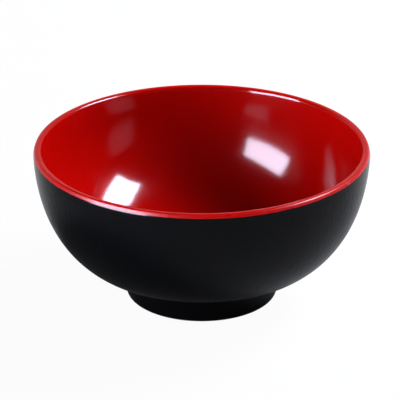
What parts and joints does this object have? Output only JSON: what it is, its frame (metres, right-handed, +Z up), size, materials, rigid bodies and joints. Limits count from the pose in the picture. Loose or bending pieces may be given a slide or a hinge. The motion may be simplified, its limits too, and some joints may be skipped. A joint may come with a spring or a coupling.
{
  "type": "rice bowl",
  "caption": "Round two-tone melamine rice bowl: matte black shell on a plain foot ring, glossy red liner wrapped over the top as a rounded rim.",
  "frame": {"origin": "centre of the foot ring, on the surface that the bowl stands on", "axes": "+Z up along the bowl's axis, out of its mouth; X and Y are any two directions square to it"},
  "size_m": [0.115, 0.115, 0.0546],
  "materials": {
    "shell_black": "black melamine, fine pressed texture on the wall, polished foot ring and edge band",
    "liner_red": "deep red melamine, polished smooth all over"
  },
  "bodies": {
    "root": {"outer_shell": "shell_black", "inner_liner": "liner_red"}
  },
  "joints": []
}
